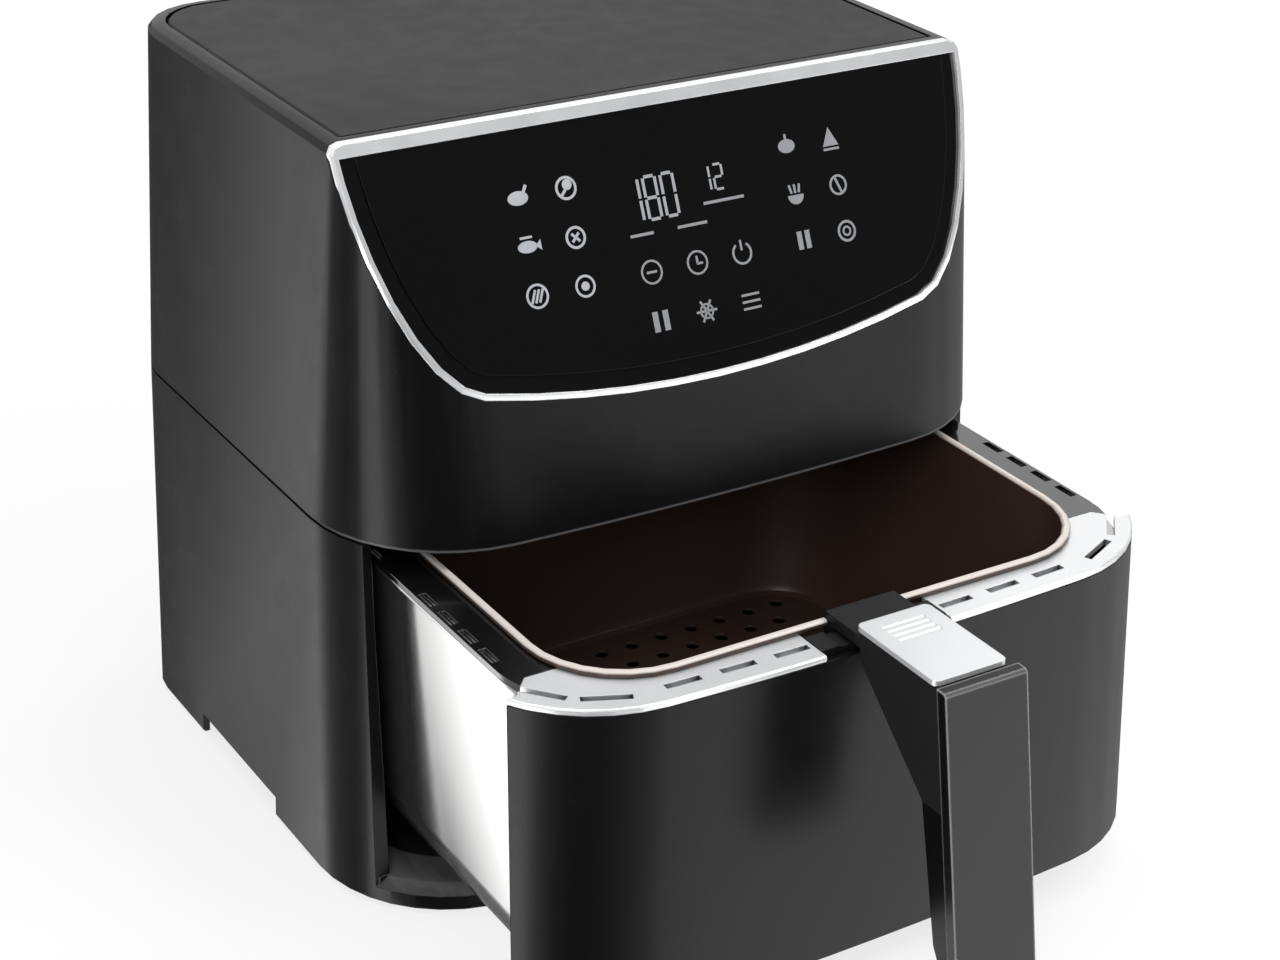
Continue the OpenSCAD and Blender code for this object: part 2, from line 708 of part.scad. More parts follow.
module cooling_fan() color("#2e3034") translate([0, 0, cool_z]) difference() {
    union() {
        rod(12, cool_h);
        for (i = [0:6]) rotate(i * 360 / 7) translate([11, 0, cool_h / 2]) rotate([28, 0, 0])
            translate([0, -9, -0.8]) cube([cool_r - 12, 18, 1.6]);
    }
    translate([0, 0, -past]) rod(shaft_r + run_fit, cool_h + 2 * past);
}

module fan_nut() color("#8f9194") translate([0, 0, fan_z - 8]) difference() {
    cylinder(r = 6, h = 5, $fn = 6);
    translate([0, 0, -past]) rod(shaft_r + run_fit, 5 + 2 * past);
}

// ---- Drawer ----
rim_z = rim_h - rim_t;
basket_front = pan_front + basket_end_room;
basket_back = pan_back - basket_end_room;
basket_d = basket_back - basket_front;
basket_z = pan_z + basket_rise;
opening_gap = 1.2;
catch_w = 54;
catch_low = rim_h - 15;
catch_front = front_y(rim_h) + front_t + 0.55;
catch_back = basket_front - 5.7;
catch_top = rim_h - 0.2;
rim_start = [pan_w / 2 + 3.5, split_top + 2];
rim_inner = [pan_w / 2 - 3, split_top + 9];
plate_front = basket_front - 5;
notch_y = catch_back + clear;

function pan_ring(z, inset) =
    lifted(rounded(pan_w / 2 - inset, pan_front + inset, pan_back - inset, pan_r - inset), z);
function basket_ring(z, inset) =
    lifted(rounded(basket_w / 2 - inset, basket_front + inset, basket_back - inset, basket_r - inset), z);
function flat(ring) = [for (p = ring) [p.x, p.y]];

module drawer_pan() color("#c3c5c8") drawn() difference() {
    foot = 16;
    loft([
        pan_ring(pan_z, foot), pan_ring(pan_z + 1.4, foot * 0.6), pan_ring(pan_z + 5, foot * 0.28),
        pan_ring(pan_z + 11, foot * 0.1), pan_ring(pan_z + 20, 0), pan_ring(rim_z - pan_t, 0),
        pan_ring(rim_z - pan_t, -pan_flange), pan_ring(rim_z, -pan_flange),
        pan_ring(rim_z, pan_t), pan_ring(pan_z + 20, pan_t), pan_ring(pan_z + 11, foot * 0.1 + pan_t),
        pan_ring(pan_z + 5.4, foot * 0.28 + pan_t), pan_ring(pan_z + 2.4, foot * 0.6 + pan_t * 0.5),
        pan_ring(pan_z + pan_t, foot)
    ]);
    // notch for the catch and the holes of its screws
    box([-catch_w / 2 - clear, -far, catch_low - clear], [catch_w / 2 + clear, notch_y, far]);
    for (p = front_screws) translate([p.x, pan_front - past, p.y]) rotate([-90, 0, 0]) rod(2.2, pan_t + 3);
}

front_screws = [for (s = [-1, 1], z = [pan_z + 32, rim_h - 31]) [s * (pan_w / 2 - 56), z]];

// Outline of the silver rim's plan, spread by a margin
module front_rim_plan(margin = 0) {
    intersection() {
        polygon(flat(body_ring(rim_h)));
        translate([-far, -far]) square([2 * far, far + split_top + margin]);
    }
    a = rim_start + [margin, margin];
    b = rim_inner + [margin, margin];
    polygon([[-a.x, split_top - 2], [a.x, split_top - 2], a, b, [-b.x, b.y], [-a.x, a.y]]);
}

module basket_opening() polygon(flat(basket_ring(rim_h, -opening_gap)));

module pan_rim() color("#18191b") drawn() translate([0, 0, rim_z]) linear_extrude(rim_t) difference() {
    polygon(rounded(pan_w / 2 + pan_flange, pan_front, pan_back + pan_flange, pan_r + pan_flange, 9));
    basket_opening();
    front_rim_plan(0.1);
    // slots over the pan's edge
    mirrored() for (y = concat([for (i = [0:3]) pan_front + 43 + 15 * i], [for (i = [0:2]) pan_back - 84 + 18 * i]))
        translate([pan_w / 2 - pan_t - 0.2, y]) square([slot_w, 10]);
}

module drawer_front() color("#232528") drawn() {
    difference() {
        loft([body_ring(drawer_bottom, 1.2), body_ring(drawer_bottom + 1.2, 0), body_ring(rim_z, 0)]);
        loft([body_ring(drawer_bottom + front_t, front_t), body_ring(rim_z + past, front_t)]);
        difference() {
            box([-far, -far, 0], [far, far, far]);
            before_split();
        }
    }
    // bosses behind the face, where the pan is screwed on
    for (p = front_screws) translate([p.x, pan_front - 0.1, p.y]) rotate([90, 0, 0]) difference() {
        rod(5, front_inside(p) + pan_front);
        translate([0, 0, -past]) rod(1.7, 6);
    }
}
function front_inside(p) = -front_y(p.y) - front_bow * pow(p.x / half_w(p.y), 2) - front_t + 1.4;

module front_rim() color("#c9cbce") drawn() difference() {
    intersection() {
        loft([body_ring(rim_z, 0.3), body_ring(rim_z + 0.6, 0), body_ring(rim_h - 0.6, 0), body_ring(rim_h, 0.6)]);
        translate([0, 0, rim_z]) linear_extrude(rim_t) front_rim_plan();
    }
    translate([0, 0, rim_z - past]) linear_extrude(rim_t + 2 * past) {
        basket_opening();
        translate([-catch_w / 2 - 0.2, -far]) square([catch_w + 0.4, far + basket_front]);
        front_slots();
    }
}

// Slots along the silver rim, a fixed way in from its edge
slot_in = 7.2;
module front_slots() {
    mirrored() {
        for (x = [36, 58, 80]) let (r = (half_w(rim_h) * half_w(rim_h) + front_bow * front_bow) / (2 * front_bow))
            translate([0, front_y(rim_h) + r]) rotate(asin(x / r)) translate([-slot_l / 2 + 2, slot_in - r])
                square([slot_l - 4, slot_w]);
        c = [half_w(rim_h) - corner_at(rim_h), front_y(rim_h) + corner_at(rim_h) + 1.6];
        for (a = [-66, -40, -14]) translate(c) rotate(a) translate([corner_at(rim_h) - slot_in - slot_w, -slot_l / 2])
            square([slot_w, slot_l]);
    }
}

tooth_w = 4;
hook_room = 0.8;
bar_front = catch_back - 3.7;
bar_low = rim_h - 3.4;
catch_screw = [18, catch_low + 5];

module latch_catch() color("#141517") drawn() difference() {
    union() {
        box([-catch_w / 2, catch_front, catch_low], [catch_w / 2, catch_back, catch_top]);
        // shoulders level with the rim
        mirrored() box([catch_w / 2 - 8, catch_front, rim_z + 0.2], [catch_w / 2, basket_front - 4.6, catch_top + 0.6]);
    }
    w = tooth_w + hook_room;
    box([-w, -far, catch_low + 4.6], [w, bar_front, far]);
    box([-w, -far, catch_low + 4.6], [w, far, bar_low]);
    for (s = [-1, 1]) translate([s * catch_screw.x, catch_back + past, catch_screw.y]) rotate([90, 0, 0]) {
        rod(1.6, far);
        rod(3.4, 1.6 + past);
    }
}

module drawer_screws() color("#9fa1a4") drawn() {
    for (p = front_screws) translate([p.x, pan_front + pan_t + 1.8, p.y]) rotate([90, 0, 0]) {
        rod(4, 1.8);
        rod(1.6, 7.5);
    }
    for (s = [-1, 1]) translate([s * catch_screw.x, catch_back, catch_screw.y]) rotate([90, 0, 0]) {
        rod(3.2, 1.5);
        rod(1.5, 9.4);
    }
}

// ---- Basket ----
floor_in = 12;
arm_hw = 15;
module basket() color("#2b2624") drawn() {
    t = basket_t;
    top = rim_h + 2.8;
    difference() {
        loft([
            basket_ring(basket_z, floor_in), basket_ring(basket_z, 7), basket_ring(basket_z + 1.6, 4.4),
            basket_ring(basket_z + 5, 3), basket_ring(rim_h - 31, 0), basket_ring(rim_h + clear, 0),
            basket_ring(rim_h + clear, 0.4 - basket_lip), basket_ring(rim_h + 0.8, -basket_lip),
            basket_ring(top - 0.8, -basket_lip), basket_ring(top, 1 - basket_lip), basket_ring(top, t - 1),
            basket_ring(top - 1, t), basket_ring(rim_h - 31, t), basket_ring(basket_z + 5.6, 3 + t),
            basket_ring(basket_z + 2.6, 4.6 + t), basket_ring(basket_z + t, 7 + t), basket_ring(basket_z + t, floor_in)
        ], closed = true);
        // gap in the rolled rim where the handle's arm passes, and its rivet holes
        box([-arm_hw - 0.3, -far, rim_h - 2], [arm_hw + 0.3, basket_front, far]);
        box([-arm_hw - 0.3, -far, rim_h + 0.5], [arm_hw + 0.3, basket_front + t + 1, far]);
        for (p = rivets) translate([p.x, basket_front - past, p.y]) rotate([-90, 0, 0]) rod(rivet_r, 4);
    }
    translate([0, 0, basket_z]) linear_extrude(t) difference() {
        polygon(flat(basket_ring(0, floor_in - 0.5)));
        rows = floor((basket_d / 2 - 16) / (hole_pitch * 0.87));
        cols = floor((basket_w / 2 - 18) / hole_pitch);
        for (j = [-rows:rows], i = [-cols:cols]) if (j % 2 == 0 || i < cols)
            translate([(i + (j % 2 == 0 ? 0 : 0.5)) * hole_pitch, basket_front + basket_d / 2 + j * hole_pitch * 0.87])
                circle(hole_d / 2, $fn = 10);
    }
}

// ---- Handle ----
rivet_r = 2;
rivets = [for (x = [-9, 9], z = [rim_h - 22, rim_h - 10]) [x, z]];
handle_top = rim_h + handle_rise;
arm_low = rim_h + 1;
arm_thin = handle_top - 1.5;
plate_low = rim_h - 29;
grip_y = front_y(seam_h) - grip_reach;
grip_top = handle_top + 2;
grip_low = grip_top - grip_l;
joint_z = handle_top - 46;
function grip_at(z, depth = 0) = grip_y - (grip_top - z) * tan(grip_lean) + depth;
knee_y = front_y(rim_h) - 2;

// Draws a side view, [y, z], as a slab across x
module side_slab(half, points) translate([-half, 0, 0]) rotate([90, 0, 90]) linear_extrude(2 * half) polygon(points);

button_front = grip_y + face_t + 4;
button_back = button_front + 11.5;
button_hw = 9;
button_low = handle_top - 3.2;
pocket_z = rim_h - 7;
guard_hw = 15.5;
guard_front = grip_y + face_t + 3;
guard_back = guard_front + 45;
guard_rail = [guard_front + 2, guard_front + 26];
groove_x = [11.7, 13.5];
groove_z = handle_top - 2;

// Latch slide: its block under the button, the ramp on it, its upright and the tooth under the catch's bar
slide_top = handle_top - 2.7;
slide_front = button_front + 1;
slide_leg = [button_back + 3, button_back + 5.5];
ramp_top = rim_h - 2;
ramp_foot = slide_leg[0] - 1.5;
ramp_c = ramp_top + slide_front;
slide_low = ramp_c - ramp_foot - 3.5;
tooth_back = bar_front - clear;
tooth_top = bar_low - 3.4;

module handle_bracket() color("#1b1c1f") drawn() difference() {
    side_slab(arm_hw, [
        [plate_front, plate_low], [basket_front, plate_low], [basket_front, arm_thin], [knee_y, arm_thin],
        [knee_y - 1.5, handle_top], [grip_at(handle_top, face_t), handle_top], [grip_at(joint_z, face_t), joint_z],
        [grip_at(joint_z, grip_t), joint_z], [knee_y - 2, rim_h - 5], [knee_y, arm_low], [plate_front, arm_low]
    ]);
    // channel of the latch slide, and the well under the button
    w = tooth_w + 0.4;
    box([-w, slide_leg[1], arm_low - past], [w, plate_front, slide_top + clear]);
    box([-w, slide_leg[1], arm_low - past], [w, basket_front + past, arm_low]);
    box([-w, slide_front - button_travel - 0.4, slide_low - 0.4], [w, slide_leg[1] + 0.4, slide_top + clear]);
    box([-button_hw - clear, button_front - clear, pocket_z], [button_hw + clear, button_back + clear, far]);
    // grooves of the sliding cover plate
    mirrored() box([groove_x[0], guard_rail[0] - clear, groove_z],
        [groove_x[1], guard_rail[1] + guard_travel + clear, far]);
    for (p = rivets) translate([p.x, basket_front + past, p.y]) rotate([90, 0, 0]) rod(rivet_r, far / 20);
}

module handle_back() color("#1b1c1f") drawn() {
    low = grip_low + 1;
    difference() {
        side_slab(arm_hw, [
            [grip_at(low + 3, face_t), low + 3], [grip_at(joint_z, face_t), joint_z],
            [grip_at(joint_z, grip_t), joint_z], [grip_at(low + 12, grip_t - 3), low + 12],
            [grip_at(low + 5, grip_t - 6), low + 5], [grip_at(low, grip_t - 10), low],
            [grip_at(low, face_t + 1), low]
        ]);
        // hollow behind the front plate
        side_slab(arm_hw - 2.6, [
            [grip_at(low + 8, face_t - 1), low + 8], [grip_at(joint_z - 4, face_t - 1), joint_z - 4],
            [grip_at(joint_z - 4, grip_t - 3), joint_z - 4], [grip_at(low + 13, grip_t - 6), low + 13],
            [grip_at(low + 8, grip_t - 9), low + 8]
        ]);
        for (z = handle_screw_z) translate([0, back_at(z) + past, z]) rotate([90, 0, 0]) {
            rod(1.6, 10);
            rod(3.5, 1.8 + past);
        }
    }
}

handle_screw_z = [grip_low + 24, joint_z - 12];
// Back of the grip, which gets thinner downwards
function back_at(z) = grip_at(z, grip_t - 3 * (joint_z - z) / (joint_z - grip_low - 13));

module handle_front() color("#17181b") drawn() {
    intersection() {
            side_slab(far, [
                [grip_at(grip_low, 1.4), grip_low], [grip_at(grip_low + 1.4, 0), grip_low + 1.4],
                [grip_at(grip_top - 1, 0), grip_top - 1], [grip_at(grip_top, 1), grip_top],
                [grip_at(grip_top, face_t), grip_top], [grip_at(grip_low, face_t), grip_low]
            ]);
            translate([0, 0, grip_low]) linear_extrude(grip_l) polygon([
                [-grip_w / 2 - 0.6, -far], [grip_w / 2 + 0.6, -far], [grip_w / 2, far], [-grip_w / 2, far]
            ]);
    }
    // bosses for the screws from behind
    for (z = handle_screw_z) let (end = back_at(z) - 4.2) translate([0, end, z]) rotate([90, 0, 0]) difference() {
        rod(3.4, end - grip_at(z, face_t) + 1);
        translate([0, 0, -past]) rod(1.5, 8);
    }
}

module handle_screws() color("#a3a5a8") drawn() {
    for (p = rivets) translate([p.x, basket_front + basket_t + 1.4, p.y]) rotate([90, 0, 0]) {
        rod(3.8, 1.4);
        rod(rivet_r, basket_t + 6.2);
    }
    for (z = handle_screw_z) translate([0, back_at(z), z]) rotate([90, 0, 0]) {
        rod(3.2, 1.7);
        rod(1.5, 9);
    }
}

module button_guard() color("#c9cbce") drawn() {
    top = handle_top + clear;
    difference() {
        union() {
            translate([0, 0, top]) linear_extrude(2) polygon(rounded(guard_hw, guard_front, guard_back, 2.4, 5));
            mirrored() box([groove_x[0] + clear, guard_rail[0], groove_z + clear],
                [groove_x[1] - clear, guard_rail[1], top]);
        }
        // shallow thumb grooves
        for (i = [0:3]) translate([0, guard_back - 7 - i * 3.2, top + 2.6]) rotate([0, 90, 0])
            translate([0, 0, -9]) rod(1, 18);
    }
}

module release_button() color("#b33a2c") drawn() {
    difference() {
        box([-button_hw, button_front, button_low], [button_hw, button_back, handle_top]);
        for (i = [-1:1]) translate([0, (button_front + button_back) / 2 + i * 3, handle_top + 0.5])
            rotate([0, 90, 0]) translate([0, 0, -6]) rod(1, 12);
    }
    face = ramp_c + clear * sqrt(2);
    stem = [button_front + 3.5, button_front + 9, button_front + 10];
    side_slab(3, [
        [stem[0], button_low + 0.1], [stem[0], face - stem[0]], [stem[1], face - stem[1]], [stem[2], face - stem[1]],
        [stem[2], button_low + 0.1]
    ]);
}

module latch_hook() color("#8d9094") drawn() side_slab(tooth_w, [
    [tooth_back, slide_top], [tooth_back, tooth_top], [tooth_back + 2.4, tooth_top], [tooth_back + 2.4, tooth_top - 1.6],
    [tooth_back + 1.2, tooth_top - 2.8], [tooth_back - 2, tooth_top - 2.8], [tooth_back - 2, slide_top - 3],
    [slide_leg[1], slide_top - 3], [slide_leg[1], slide_low], [slide_front, slide_low], [slide_front, ramp_top],
    [ramp_foot, ramp_c - ramp_foot], [slide_leg[0], ramp_c - ramp_foot], [slide_leg[0], slide_top]
]);

spring_r = 1.5;
spring_wire = 0.5;
spring_turns = 5;
module button_spring() color("#c8cacc") drawn() for (x = [-7, 7])
    translate([x, (button_front + button_back) / 2, pocket_z + spring_wire / 2]) {
        n = 10;
        rise = button_low - pocket_z - spring_wire;
        loft([for (i = [0:n * spring_turns]) let (
                a = 360 * i / n, c = spring_r * [cos(a), sin(a), 0] + [0, 0, rise * i / (n * spring_turns)],
                u = [cos(a), sin(a), 0])
            [for (k = [0:5]) c + spring_wire / 2 * (u * cos(60 * k) - [0, 0, sin(60 * k)])]
        ]);
    }

upper_shell();
top_cover();
lower_shell();
base_tray();
rubber_feet();
case_screws();
control_panel();
panel_trim();
panel_bezel();
touch_board();
display_module();
exhaust_grille();
exhaust_duct();
cord_gland();
terminal_block();
bay_liner();
bay_ceiling();
fan_hood();
heater_coil();
heater_bushes();
heater_guard();
motor_bracket();
fan_motor();
motor_screws();
control_board();
temperature_probe();
thermal_cutout();
door_switch();
motor_shaft();
hot_air_fan();
cooling_fan();
fan_nut();
drawer_pan();
pan_rim();
drawer_front();
front_rim();
latch_catch();
drawer_screws();
basket();
handle_bracket();
handle_back();
handle_front();
handle_screws();
button_guard();
release_button();
button_spring();
latch_hook();
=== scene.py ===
"""Looks of a drawer air fryer round its fixed CAD frame: materials, printed keys, stage, light, camera."""

import math

import bmesh
import bpy
from mathutils import Matrix, Vector


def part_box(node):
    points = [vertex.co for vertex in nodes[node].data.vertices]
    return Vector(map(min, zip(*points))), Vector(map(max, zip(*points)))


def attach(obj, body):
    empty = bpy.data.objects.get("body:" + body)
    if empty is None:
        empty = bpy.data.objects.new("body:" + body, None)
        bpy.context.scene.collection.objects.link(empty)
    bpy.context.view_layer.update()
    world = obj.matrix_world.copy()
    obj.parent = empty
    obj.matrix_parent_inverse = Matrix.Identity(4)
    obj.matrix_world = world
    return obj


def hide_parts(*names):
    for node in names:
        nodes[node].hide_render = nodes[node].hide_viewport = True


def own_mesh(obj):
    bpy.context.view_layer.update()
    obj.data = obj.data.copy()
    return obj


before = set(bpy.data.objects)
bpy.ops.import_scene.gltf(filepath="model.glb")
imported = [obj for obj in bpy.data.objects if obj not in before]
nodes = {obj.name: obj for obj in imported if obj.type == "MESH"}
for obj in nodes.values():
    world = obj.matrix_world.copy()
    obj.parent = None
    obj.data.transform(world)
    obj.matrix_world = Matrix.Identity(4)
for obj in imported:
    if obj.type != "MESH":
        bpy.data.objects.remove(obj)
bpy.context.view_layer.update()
MM = 0.001

# The plane of the slanted panel, through the middle of the body's front at PANEL_Y and PANEL_Z millimetres
PANEL_TILT = math.radians(24.0)
PANEL_Y = -109.945
PANEL_Z = 199.5
PANEL_AT = Vector((0.0, PANEL_Y * MM, PANEL_Z * MM))
ACROSS = Vector((1.0, 0.0, 0.0))
UP = Vector((0.0, math.sin(PANEL_TILT), math.cos(PANEL_TILT)))
OUT = Vector((0.0, -math.cos(PANEL_TILT), math.sin(PANEL_TILT)))
TRIM_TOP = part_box("panel_trim")[1][2]
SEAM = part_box("upper_shell")[0][2]


def show(name, data):
    """A new object in the scene."""
    o = bpy.data.objects.new(name, data)
    bpy.context.scene.collection.objects.link(o)
    return o


# ---------------------------------------------------------------- shader helpers
def emptied(owner):
    """The node tree of a material or world, with nothing in it."""
    owner.use_nodes = True
    owner.node_tree.nodes.clear()
    return owner.node_tree


def add(tree, kind, inputs=None, **settings):
    """A node with its settings and its inputs, each a value or another node's socket."""
    node = tree.nodes.new(kind)
    for key, value in settings.items():
        setattr(node, key, value)
    for key, value in (inputs or {}).items():
        socket = node.inputs[key]
        if isinstance(value, bpy.types.NodeSocket):
            tree.links.new(value, socket)
        else:
            socket.default_value = value
    return node


def rgb(r, g, b):
    return (r, g, b, 1.0)


def scaled(colour, k):
    """A lighter or darker shade, in which nothing passes 1."""
    return rgb(*(min(1.0, part * k) for part in colour))


def own_place(tree):
    """Where a point is at rest, in the frame and in metres: every object sits at the origin."""
    return add(tree, "ShaderNodeTexCoord").outputs["Object"]


def axes(tree, vector):
    """The X, Y and Z of a vector."""
    return add(tree, "ShaderNodeSeparateXYZ", {"Vector": vector}).outputs


def stretched(tree, vector, scale):
    return add(tree, "ShaderNodeMapping", {"Vector": vector, "Scale": scale}).outputs["Vector"]


def dot(tree, a, b):
    return add(tree, "ShaderNodeVectorMath", {0: a, 1: b}, operation="DOT_PRODUCT").outputs["Value"]


def noise(tree, vector, scale, detail, rough=0.5):
    inputs = {"Vector": vector, "Scale": scale, "Detail": detail, "Roughness": rough}
    return add(tree, "ShaderNodeTexNoise", inputs).outputs["Fac"]


def ranged(tree, value, low, high, to_low=0.0, to_high=1.0):
    """Turns a value's way from low to high into one from to_low to to_high, held at both ends."""
    inputs = {"Value": value, "From Min": low, "From Max": high, "To Min": to_low, "To Max": to_high}
    return add(tree, "ShaderNodeMapRange", inputs).outputs["Result"]


def mixed(tree, fac, a, b):
    """Colour a, and colour b where fac is 1."""
    return add(tree, "ShaderNodeMix", {0: fac, 6: a, 7: b}, data_type="RGBA").outputs[2]


def math_node(tree, op, a, b):
    return add(tree, "ShaderNodeMath", {0: a, 1: b}, operation=op).outputs[0]


def times(tree, a, b):
    return math_node(tree, "MULTIPLY", a, b)


# Cosines between an edge's rounded and flat normals where its lighter colour starts and where it is full, and
# the worn shade; the lighter colour is wear, and on the handle a painted highlight
EDGE_TINT_STARTS = 0.985
EDGE_TINT_FULL = 0.86
WORN_SHADE = 2.6


def surface(name, colour, rough, metallic=0.0, spread=0.05, grain=900.0, grain_h=0.00004, tone=0.12,
            patch=9.0, brushed=None, edge=0.0005, edge_wear_and_sheen=0.0, rubbed=None, specular=0.5, ior=1.5, second=None):
    """A moulded, painted or metal surface: colour patches, fine grain, uneven gloss, rounded and lightened
    edges.

    The roughness stays within spread of rough. The colour changes by tone, in patches of the scale patch.
    The grain has the scale grain and the height grain_h in metres, and brushed stretches it. Edges look
    rounded by the radius edge. Two more arguments give how far edges go towards a lighter colour, and that
    colour, which is a lighter shade of the surface's own if not given: wear on most surfaces, and a painted
    highlight on the handle. second(tree, place, base) returns the base colour with what else is painted on it.
    """
    material = bpy.data.materials.new(name)
    t = emptied(material)
    place = own_place(t)
    along = stretched(t, place, brushed) if brushed else place
    broad = noise(t, place, patch, 2.0)
    fine = noise(t, along, grain, 2.0, 0.6)
    middle = noise(t, place, patch * 9.0, 4.0)
    base = mixed(t, ranged(t, broad, 0.3, 0.7), scaled(colour, 1.0 - tone), scaled(colour, 1.0 + tone))
    if second:
        base = second(t, place, base)
    roughness = ranged(t, math_node(t, "ADD", broad, middle), 0.7, 1.3, rough - spread, rough + spread)
    rounded = add(t, "ShaderNodeBevel", {"Radius": edge}, samples=4).outputs["Normal"]
    inputs = {"Height": fine, "Strength": 0.6, "Distance": grain_h, "Normal": rounded}
    bump = add(t, "ShaderNodeBump", inputs)
    # lighter edges: wear, and on the handle a painted highlight
    if edge_wear_and_sheen:
        flat = add(t, "ShaderNodeNewGeometry").outputs["Normal"]
        worn_and_sheen_edges = ranged(t, dot(t, rounded, flat), EDGE_TINT_STARTS, EDGE_TINT_FULL, 0.0, edge_wear_and_sheen)
        base = mixed(t, worn_and_sheen_edges, base, rubbed or scaled(colour, WORN_SHADE))
    shader = add(t, "ShaderNodeBsdfPrincipled", {
        "Base Color": base, "Roughness": roughness, "Metallic": metallic, "Normal": bump.outputs["Normal"],
        "Specular IOR Level": specular, "IOR": ior,
    })
    add(t, "ShaderNodeOutputMaterial", {"Surface": shader.outputs[0]})
    return material


def moulded_black(name, grain_h=0.00002, edge_wear_and_sheen=0.3, **details):
    """The satin black plastic of the housing, the drawer's front and the handle."""
    return surface(name, (0.0045, 0.0046, 0.005), 0.26, spread=0.03, grain=1400, grain_h=grain_h, edge_wear_and_sheen=edge_wear_and_sheen,
                   **details)


def silver_paint(name, colour, rough, metallic, **details):
    """The fine metallic paint of the front's rim and the cover on the handle."""
    return surface(name, colour, rough, metallic, spread=0.03, grain=1500, grain_h=0.00001, tone=0.03,
                   **details)


# ---------------------------------------------------------------- what is painted on a base colour
def shell_paint(t, place, base):
    """The lip between the panel and the cover is bright like the trim, and a thin painted highlight lightens
    the lower front edge.
    """
    offset = add(t, "ShaderNodeVectorMath", {0: place, 1: PANEL_AT}, operation="SUBTRACT").outputs["Vector"]
    at = axes(t, place)
    on_face = ranged(t, dot(t, offset, OUT), -3.0 * MM, -2.2 * MM)
    above_trim = ranged(t, at["Z"], TRIM_TOP - 0.6 * MM, TRIM_TOP - 0.2 * MM)
    base = mixed(t, times(t, on_face, above_trim), base, rgb(0.62, 0.63, 0.65))
    # painted highlight: a thin lighter line along the front of the shell's lower edge, where its rounded lip
    # would catch the light
    low = ranged(t, at["Z"], SEAM + 1.2 * MM, SEAM + 0.6 * MM)
    front = ranged(t, at["Y"], -60.0 * MM, -80.0 * MM)
    return mixed(t, times(t, low, front), base, rgb(0.10, 0.10, 0.105))


def painted_ledge_sheen(t, place, base):
    """The top of the base's rounded front lip, under the drawer, gets a painted sheen: a lighter grey in
    streaks where it faces up.
    """
    low = ranged(t, axes(t, place)["Z"], 13.5 * MM, 12.5 * MM)
    normal = add(t, "ShaderNodeNewGeometry").outputs["True Normal"]
    faces_up = ranged(t, axes(t, normal)["Z"], 0.3, 0.8)
    streak = noise(t, stretched(t, place, (1.0, 0.2, 1.0)), 90.0, 3.0)
    # painted sheen: lighter grey streaks on the up-facing lip, standing in for light from above
    rubbed = mixed(t, ranged(t, streak, 0.35, 0.65), rgb(0.05, 0.05, 0.052), rgb(0.12, 0.12, 0.125))
    return mixed(t, times(t, low, faces_up), base, rubbed)


def painted_slot_shade(t, place, base):
    """Painted shade: the walls of the rim's narrow slots, which the occlusion node finds enclosed, are painted
    near black.
    """
    inputs = {"Distance": 4.0 * MM}
    open_sky = add(t, "ShaderNodeAmbientOcclusion", inputs, samples=6, only_local=True).outputs["AO"]
    # painted shade in the slots
    return mixed(t, ranged(t, open_sky, 0.85, 0.55), base, rgb(0.012, 0.012, 0.013))


def basket_paint(t, place, base):
    """The fine flecks of the non-stick coat, and a painted highlight: pale metal grey on the crown of the
    rolled rim above it.
    """
    cells = add(t, "ShaderNodeTexVoronoi", {"Vector": place, "Scale": 900.0}, feature="F1")
    flecks = ranged(t, cells.outputs["Distance"], 0.08, 0.2, 0.25, 0.0)
    base = mixed(t, flecks, base, rgb(0.11, 0.07, 0.05))
    # painted highlight along the crown of the basket's rim
    painted_rim_highlight = ranged(t, axes(t, place)["Z"], 144.8 * MM, 145.4 * MM)
    return mixed(t, painted_rim_highlight, base, rgb(0.66, 0.60, 0.56))


# ---------------------------------------------------------------- materials of the CAD nodes
black_shell = moulded_black("shell_black", specular=0.16, second=shell_paint)
black = moulded_black("housing_black", specular=0.16, second=painted_ledge_sheen)
black_drawer = moulded_black("drawer_black", grain_h=0.00003, specular=0.18)
# painted highlight: the handle's front edges go fully to a pale grey, standing in for light caught on their
# rounded chamfers
black_handle = moulded_black("handle_black", grain_h=0.00003, edge_wear_and_sheen=1.0, edge=0.0012,
                             rubbed=rgb(0.55, 0.55, 0.56), specular=0.3)
cover = surface("cover_grey", (0.011, 0.0114, 0.012), 0.5, grain_h=0.00006, edge_wear_and_sheen=0.15, specular=0.2)
inner = surface("inner_black", (0.008, 0.008, 0.009), 0.5, spread=0.06, grain=700, grain_h=0.00006,
                specular=0.25)
rim_black = surface("rim_black", (0.005, 0.005, 0.0055), 0.12, spread=0.03, grain=700, grain_h=0.00001,
                    ior=2.2)
gloss = surface("panel_gloss", (0.003, 0.003, 0.0033), 0.08, spread=0.02, grain=60, grain_h=0.000003,
                tone=0.05, edge=0.0003, specular=0.4)
chrome = surface("trim_chrome", (0.86, 0.87, 0.89), 0.24, metallic=0.6, spread=0.04, grain=500,
                 grain_h=0.000006, tone=0.03)
silver = silver_paint("rim_silver", (0.80, 0.81, 0.83), 0.36, 0.6, second=painted_slot_shade)
plate = silver_paint("plate_silver", (0.74, 0.75, 0.76), 0.4, 0.5)
pan = surface("pan_coat", (0.58, 0.58, 0.575), 0.14, metallic=0.95, spread=0.015, grain=1500,
              grain_h=0.000004, tone=0.03, brushed=(1.0, 1.0, 0.1))
basket_coat = surface("basket_coat", (0.062, 0.036, 0.026), 0.36, spread=0.08, grain_h=0.00005, tone=0.2,
                      second=basket_paint)
steel = surface("sheet_steel", (0.55, 0.55, 0.55), 0.35, metallic=1.0, spread=0.08, grain_h=0.00003,
                brushed=(1.0, 1.0, 20.0))
